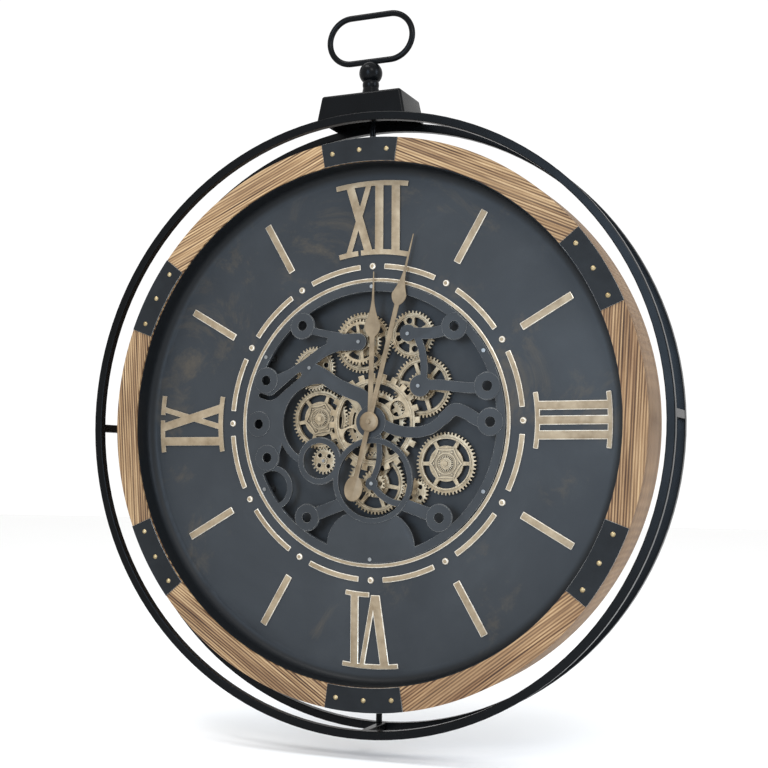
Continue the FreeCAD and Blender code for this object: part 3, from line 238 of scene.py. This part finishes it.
dialValues = {"dark": (0.02, 0.0222, 0.0246), "mid": (0.0268, 0.0295, 0.0322),
              "light": (0.037, 0.0405, 0.0435),
              # the second colour on the next line is painted shade for the shadowed wall of the dish
              "rust": (0.085, 0.066, 0.043), "wall": (0.006, 0.007, 0.008),
              "wallStart": 0.2405, "wallFull": 0.2475, "cloudScale": 6.0, "stainScale": 11.0,
              "speckScale": 160.0, "sheenScale": 18.0, "peelScale": 420.0, "roughness": (0.36, 0.54)}


def dialMaterial(values):
    # satin charcoal with rust-brown clouds; the rim and the wall of the dish are painted nearly black,
    # as painted shade
    material = newMaterial("charcoalDial", values["mid"], 0.1, 0.5, 0.2)
    shader = shaderOf(material)
    mapping = objectPlace(material)
    cloud = noiseOn(material, mapping, values["cloudScale"], 7.0, 0.62, 0.4)
    base = rampFrom(material, cloud, "Fac", [(0.3, values["dark"]), (0.52, values["mid"]),
                                            (0.72, values["light"])])
    patch = noiseOn(material, mapping, values["stainScale"], 9.0, 0.72, 0.9)
    stain = greyRamp(material, patch, "Fac", [(0.54, 0.0), (0.74, 0.75)])
    rusted = blended(material, "MIX", stain.outputs["Color"], base.outputs["Color"], values["rust"])
    speck = noiseOn(material, mapping, values["speckScale"], 8.0, 0.8)
    worn = greyRamp(material, speck, "Fac", [(0.68, 0.0), (0.76, 0.35)])
    specked = blended(material, "MIX", worn.outputs["Color"], rusted, values["rust"])
    # radius mask that paints shade over the rim and wall of the dish
    wallShadeMask = addNode(material, "ShaderNodeMapRange")
    wallShadeMask.inputs["From Min"].default_value = values["wallStart"]
    wallShadeMask.inputs["From Max"].default_value = values["wallFull"]
    join(material, radiusFrom(material), "Value", wallShadeMask, "Value")
    whole = blended(material, "MIX", wallShadeMask.outputs["Result"], specked, values["wall"])
    feed(material, whole, shader, "Base Color")
    sheen = noiseOn(material, mapping, values["sheenScale"], 5.0)
    rough = rangeFrom(material, sheen, "Fac", *values["roughness"])
    join(material, rough, "Result", shader, "Roughness")
    bumpFrom(material, noiseOn(material, mapping, values["peelScale"], 4.0), "Fac", 0.1, 0.0005)
    return material


woodValues = {"pale": (0.56, 0.385, 0.2), "tan": (0.36, 0.215, 0.092), "mid": (0.16, 0.08, 0.031),
              "dark": (0.05, 0.021, 0.008), "mean": (0.33, 0.205, 0.1), "side": (0.25, 0.15, 0.078),
              "sideStart": 0.2752, "sideFull": 0.2757, "streakScale": 118.0, "meanderScale": 0.07,
              "stretch": 0.075, "unevenScale": 300.0, "fadeScale": 90.0, "fibreScale": 700.0,
              "scorchScale": 26.0, "roughness": (0.74, 0.5)}
blockLooks = [  # per block: tone, tilt of the grain in degrees, meander of the streaks
    {"tone": 0.86, "tilt": 5.0, "meander": 18.0}, {"tone": 0.95, "tilt": -4.0, "meander": 10.0},
    {"tone": 1.05, "tilt": 6.0, "meander": 13.0}, {"tone": 0.92, "tilt": -5.0, "meander": 10.0},
    {"tone": 0.9, "tilt": 3.0, "meander": 12.0}, {"tone": 1.0, "tilt": -6.0, "meander": 13.0}]


def woodMaterial(name, angle, look, seed):
    # straight scorched grain along the block's chord, with soft early wood brushed out between streaks
    material = newMaterial(name, woodValues["tan"], 0.0, 0.55, 0.3)
    shader = shaderOf(material)
    along = objectPlace(material, turn=(0, -angle + math.radians(look["tilt"]), 0),
                        shift=(seed * 0.37, 0, seed * 0.11))
    stretched = addNode(material, "ShaderNodeMapping", Scale=(woodValues["stretch"], 0.5, 1))
    join(material, along, "Vector", stretched, "Vector")
    streaks = addNode(material, "ShaderNodeTexWave", wave_type="BANDS", bands_direction="Z",
                      wave_profile="SIN", Scale=woodValues["streakScale"],
                      Distortion=look["meander"], Detail=4.0)
    streaks.inputs["Detail Scale"].default_value = woodValues["meanderScale"]
    join(material, stretched, "Vector", streaks, "Vector")
    hair = addNode(material, "ShaderNodeMapping", Scale=(0.03, 0.6, 1))
    join(material, along, "Vector", hair, "Vector")
    uneven = greyRamp(material, noiseOn(material, hair, woodValues["unevenScale"], 2.0, 0.5), "Fac",
                      [(0.36, 0.0), (0.64, 1.0)])
    grain = addNode(material, "ShaderNodeSeparateColor")
    evenAndUneven = blended(material, "MIX", 0.5, streaks.outputs["Color"], uneven.outputs["Color"])
    feed(material, evenAndUneven, grain, "Color")
    colours = rampFrom(material, grain, "Red", [
        (0.1, woodValues["dark"]), (0.34, woodValues["mid"]), (0.55, woodValues["tan"]),
        (0.88, woodValues["pale"])])
    fade = greyRamp(material, noiseOn(material, stretched, woodValues["fadeScale"], 4.0, 0.65), "Fac",
                    [(0.42, 0.0), (0.72, 0.6)])
    softened = blended(material, "MIX", fade.outputs["Color"], colours.outputs["Color"],
                       woodValues["mean"])
    fibre = noiseOn(material, hair, woodValues["fibreScale"], 5.0, 0.7)
    fibreTone = rampFrom(material, fibre, "Fac", [(0.32, (0.5, 0.43, 0.38)), (0.58, (1, 1, 1))])
    grained = blended(material, "MULTIPLY", 0.8, softened, fibreTone.outputs["Color"])
    scorch = noiseOn(material, stretched, woodValues["scorchScale"], 4.0, 0.6, 0.5)
    scorchTone = rampFrom(material, scorch, "Fac", [(0.34, (0.45, 0.35, 0.28)), (0.58, (1, 1, 1))])
    burned = blended(material, "MULTIPLY", 0.8, grained, scorchTone.outputs["Color"])
    side = addNode(material, "ShaderNodeMapRange")
    side.inputs["From Min"].default_value = woodValues["sideStart"]
    side.inputs["From Max"].default_value = woodValues["sideFull"]
    side.inputs["To Max"].default_value = 0.8
    join(material, radiusFrom(material), "Value", side, "Value")
    sided = blended(material, "MIX", side.outputs["Result"], burned, woodValues["side"])
    toned = addNode(material, "ShaderNodeHueSaturation", Saturation=0.96, Value=look["tone"])
    feed(material, sided, toned, "Color")
    join(material, toned, "Color", shader, "Base Color")
    rough = rangeFrom(material, fibre, "Fac", *woodValues["roughness"])
    join(material, rough, "Result", shader, "Roughness")
    ridges = bumpFrom(material, streaks, "Fac", 0.3, 0.0005)
    bumpFrom(material, fibre, "Fac", 0.25, 0.0004, ridges)
    return material


blackSteel = paintedMaterial("blackSteel", blackSteelValues)
jointPlatePaint = paintedMaterial("jointPlatePaint", jointPlateValues)
platePaint = paintedMaterial("platePaint", plateValues)
# the edge materials among these are painted highlights for bevelled edges
plateHighlightEdge = paintedMaterial("plateHighlightEdge", plateHighlightEdgeValues)
goldPaint = paintedMaterial("goldPaint", goldValues)
goldHighlightEdge = paintedMaterial("goldHighlightEdge", goldHighlightEdgeValues)
gearGold = paintedMaterial("gearGold", gearValues)
gearHighlightEdge = paintedMaterial("gearHighlightEdge", gearHighlightEdgeValues)
handGold = paintedMaterial("handGold", handValues)
materialOfSlot = {
    "black_steel": blackSteel, "plate_paint": platePaint, "gold_paint": goldPaint,
    "hand_gold": handGold, "dial_paint": dialMaterial(dialValues),
    "brass_nail": paintedMaterial("brassNail", nailValues),
    "steel": paintedMaterial("brightSteel", steelValues),
    "board": paintedMaterial("backBoard", boardValues),
    "black_plastic": paintedMaterial("blackPlastic", plasticValues),
    "cell_wrap": paintedMaterial("cellWrap", cellValues)}
blockTurn = 30 - 0.9  # middle of the first block after twelve, with the drum's small turn
woods = [woodMaterial(f"scorchedFir{index + 1}", math.radians(60 * index + blockTurn), look, index)
         for index, look in enumerate(blockLooks)]


def isGear(node):
    return node.endswith("_gear") or node == "castle_wheel"


def materialFor(node):
    if node.startswith("drum_block_"):
        return woods[int(node[-1]) - 1]
    if node.startswith("joint_plate"):
        return jointPlatePaint
    if isGear(node) or node == "short_arbors":
        return gearGold
    return materialOfSlot[slotOf[node]]


for name, item in nodes.items():
    item.data.materials.clear()
    item.data.materials.append(materialFor(name))
print("materials ready")


mergeValues = {"reach": 0.000002, "flatWithin": 0.6}


def mergedCopy(node):
    # a node's loose triangles joined up, with its flat faces made whole
    bm = bmesh.new()
    bm.from_mesh(nodes[node].data)
    bmesh.ops.remove_doubles(bm, verts=bm.verts, dist=mergeValues["reach"])
    bmesh.ops.dissolve_limit(bm, angle_limit=math.radians(mergeValues["flatWithin"]), verts=bm.verts,
                             edges=bm.edges, use_dissolve_boundaries=False)
    bmesh.ops.recalc_face_normals(bm, faces=bm.faces)
    return bm


def softenEdges(bm, width, segments, sharpest=28.0):
    # the new faces get material index 1, for edges with a painted highlight
    edges = [edge for edge in bm.edges if edge.is_manifold and edge.is_convex
             and edge.calc_face_angle(0.0) > math.radians(sharpest)]
    rounded = bmesh.ops.bevel(bm, geom=edges, offset=width, offset_type="OFFSET", segments=segments,
                              profile=0.5, material=-1, affect="EDGES", clamp_overlap=True)
    for face in rounded["faces"]:
        face.material_index = 1


def finished(bm, name, node, materials, smoothAngle=20.0):
    mesh = bpy.data.meshes.new(name)
    for face in bm.faces:
        face.smooth = True
        if len(materials) == 1:
            face.material_index = 0
    bm.to_mesh(mesh)
    bm.free()
    mesh.set_sharp_from_angle(angle=math.radians(smoothAngle))
    for material in materials:
        mesh.materials.append(material)
    piece = bpy.data.objects.new(name, mesh)
    bpy.context.scene.collection.objects.link(piece)
    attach(piece, bodyOf[node])
    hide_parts(node)
    return piece


roundAngle = 24.0  # smoothing reach, in degrees, of the turned and domed pieces
# the bevel faces of these slots get a pale material as a painted highlight
highlightEdgeOfSlot = {"gold_paint": goldHighlightEdge, "plate_paint": plateHighlightEdge}
softWidths = {
    "numeral_xii": 0.0009, "numeral_iii": 0.0009, "numeral_vi": 0.0009, "numeral_ix": 0.0009,
    "hour_batons": 0.001, "minute_track": 0.0009, "inner_ring": 0.0009,
    "skeleton_plate": 0.00055, "hour_hand": 0.00035, "minute_hand": 0.00035, "hand_cap": 0.0005,
    "front_hoop": 0.0008, "rear_hoop": 0.0008, "hoop_spacers": 0.0006,
    "left_gear": 0.0003, "lower_right_gear": 0.0003, "right_gear": 0.0003, "lower_gear": 0.0003,
    "top_gear": 0.0003, "upper_right_gear": 0.0003, "upper_left_gear": 0.0003,
    "drive_gear": 0.0003, "idler_gear": 0.0003, "centre_gear": 0.0003, "castle_wheel": 0.0003,
    "movement_case": 0.0004, "battery_holder": 0.0006, "gear_motor": 0.0008, "hanger_plate": 0.0003}
softWidths.update({f"joint_plate_{index}": 0.0003 for index in range(1, 7)})
softWidths.update({f"drum_block_{index}": 0.0006 for index in range(1, 7)})
for name, width in softWidths.items():
    copy = mergedCopy(name)
    softenEdges(copy, width, 2)
    looks = [materialFor(name)]
    # gears and these slots get the pale painted-highlight material on their bevels
    if isGear(name):
        looks.append(gearHighlightEdge)
    elif slotOf[name] in highlightEdgeOfSlot:
        looks.append(highlightEdgeOfSlot[slotOf[name]])
    finished(copy, name + "_soft", name, looks)
print("softened", len(softWidths), "pieces")

for name in ("dial", "crown_block", "finial", "bow", "brass_nails", "plate_screws", "base_disc",
             "long_arbors", "short_arbors", "aa_cells", "set_knob", "centre_tube"):
    copy = mergedCopy(name)
    finished(copy, name + "_smooth", name, [materialFor(name)], roundAngle)
print("smoothed the round pieces")

stageValues = {"floorSize": 12.0, "floorDrop": 0.02, "floorColour": (0.9, 0.9, 0.895),
               "room": 1.06}
floorMesh = bmesh.new()
bmesh.ops.create_grid(floorMesh, x_segments=2, y_segments=2, size=stageValues["floorSize"] / 2)
floorData = bpy.data.meshes.new("floor")
floorMesh.to_mesh(floorData)
floorMesh.free()
floorData.transform(Matrix.Translation((0, 0, cadBox[0].z - stageValues["floorDrop"])))
floor = bpy.data.objects.new("floor", floorData)
floorData.materials.append(newMaterial("paleFloor", stageValues["floorColour"], 0.0, 0.85))
bpy.context.scene.collection.objects.link(floor)

world = bpy.data.worlds.new("paleRoom")
world.use_nodes = True
world.node_tree.nodes["Background"].inputs["Color"].default_value = (1, 1, 1, 1)
world.node_tree.nodes["Background"].inputs["Strength"].default_value = stageValues["room"]
bpy.context.scene.world = world


def softbox(name, place, target, size, power, colour):
    light = bpy.data.lights.new(name, "AREA")
    light.shape = "RECTANGLE"
    light.size, light.size_y = size
    light.energy = power
    light.color = colour
    lamp = bpy.data.objects.new(name, light)
    lamp.location = place
    lamp.rotation_euler = (Vector(target) - Vector(place)).to_track_quat("-Z", "Y").to_euler()
    bpy.context.scene.collection.objects.link(lamp)


lightValues = {  # place, target, size, power and colour of each softbox
    "keyBox": ((1.3, -2.1, 1.5), (0.05, 0, 0), (0.7, 0.7), 22, (1, 1, 1)),
    "windowBox": ((-0.22, -2.6, 0.42), (0.2, 0, 0.05), (0.7, 1.1), 27, (0.55, 0.75, 1.0)),
    "fillBox": ((2.1, -0.35, 0.6), (0, 0, 0), (0.5, 1.2), 20, (0.66, 0.8, 1.0)),
    "topBox": ((-0.6, -0.9, 2.1), (0, 0, 0), (1.0, 0.4), 16, (1, 1, 1))}
for name, values in lightValues.items():
    softbox(name, *values)

cameraValues = {"place": (0.50884, -1.2396, -0.0522), "right": (0.9248, 0.3805, 0.0059),
                "up": (0.0206, -0.0654, 0.9976), "ahead": (-0.38, 0.9225, 0.0683), "lens": 62.75}
cameraData = bpy.data.cameras.new("camera")
cameraData.lens = cameraValues["lens"]
cameraData.sensor_width = 36.0
camera = bpy.data.objects.new("camera", cameraData)
columns = [Vector(cameraValues["right"]), Vector(cameraValues["up"]), -Vector(cameraValues["ahead"])]
camera.matrix_world = Matrix.Translation(cameraValues["place"]) @ Matrix(columns).transposed().to_4x4()
bpy.context.scene.collection.objects.link(camera)
bpy.context.scene.camera = camera
bpy.context.scene.view_settings.view_transform = "Standard"
print("stage, lights and camera ready")
